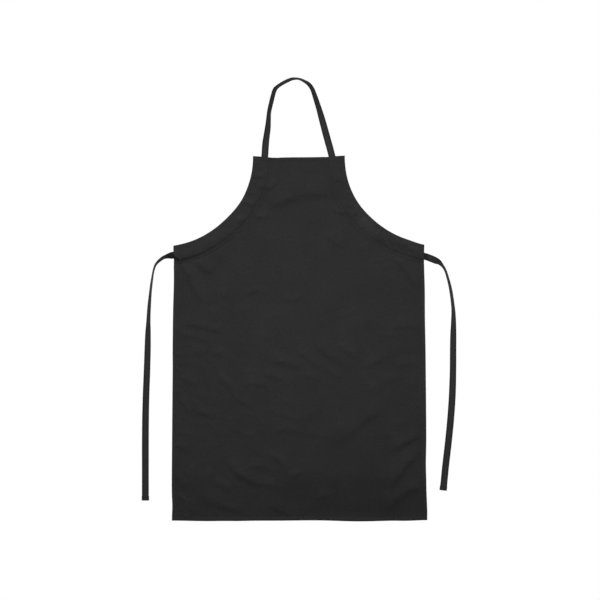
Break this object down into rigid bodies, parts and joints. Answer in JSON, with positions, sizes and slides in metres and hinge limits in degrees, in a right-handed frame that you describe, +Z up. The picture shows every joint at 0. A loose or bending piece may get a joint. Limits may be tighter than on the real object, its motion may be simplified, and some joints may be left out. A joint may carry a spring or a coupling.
{
  "type": "bib apron",
  "caption": "Black twill bib apron: shaped panel with hems, a casing round each armhole, and one flat strap threaded through both as neck loop and waist ties.",
  "frame": {"origin": "underside of the strap at the top of the neck loop, on the apron's centre plane, where it lies over a neck or a peg", "axes": "+Z up along the apron's length, +X across it to its right-hand side as seen from the front, and the front of the apron faces -Y"},
  "size_m": [0.868, 0.0237, 1.2213],
  "materials": {
    "twill": "matt black cotton and polyester twill",
    "strap_tape": "matt black twill tape, folded and edge-stitched"
  },
  "bodies": {
    "neck_loop": {"neck_strap": "strap_tape"},
    "neck_leads": {"left_neck_lead": "strap_tape", "right_neck_lead": "strap_tape"},
    "apron": {"front_panel": "twill", "top_hem": "twill", "left_side_hem": "twill", "right_side_hem": "twill", "bottom_hem": "twill", "left_facing": "twill", "right_facing": "twill", "left_casing_strap": "strap_tape", "right_casing_strap": "strap_tape"},
    "left_tie_slide": {"left_tie_lead": "strap_tape"},
    "right_tie_slide": {"right_tie_lead": "strap_tape"},
    "left_tie": {"left_tie": "strap_tape", "left_tie_turned_end": "strap_tape"},
    "right_tie": {"right_tie": "strap_tape", "right_tie_turned_end": "strap_tape"}
  },
  "joints": [
    {"name": "neck_hinge", "type": "hinge", "parent": "neck_loop", "child": "neck_leads", "pos_m": [0, 0.0018, -0.185], "axis": [1, 0, 0], "range_deg": [-90, 90]},
    {"name": "neck_adjust", "type": "slide", "parent": "neck_leads", "child": "apron", "axis": [0, 0, 1], "range_m": [0, 0.025]},
    {"name": "left_tie_draw", "type": "slide", "parent": "apron", "child": "left_tie_slide", "axis": [-0.9848, 0, -0.1736], "range_m": [0, 0.025]},
    {"name": "right_tie_draw", "type": "slide", "parent": "apron", "child": "right_tie_slide", "axis": [0.9848, 0, -0.1736], "range_m": [0, 0.025]},
    {"name": "left_tie_swing", "type": "hinge", "parent": "left_tie_slide", "child": "left_tie", "pos_m": [-0.3515, 0.0018, -0.4845], "axis": [0, 0, 1], "range_deg": [-90, 90]},
    {"name": "right_tie_swing", "type": "hinge", "parent": "right_tie_slide", "child": "right_tie", "pos_m": [0.3515, 0.0018, -0.489], "axis": [0, 0, 1], "range_deg": [-90, 90]}
  ],
  "couplings": [
    {"joint": "left_tie_draw", "follows": "neck_adjust", "ratio": 1},
    {"joint": "right_tie_draw", "follows": "neck_adjust", "ratio": 1}
  ]
}
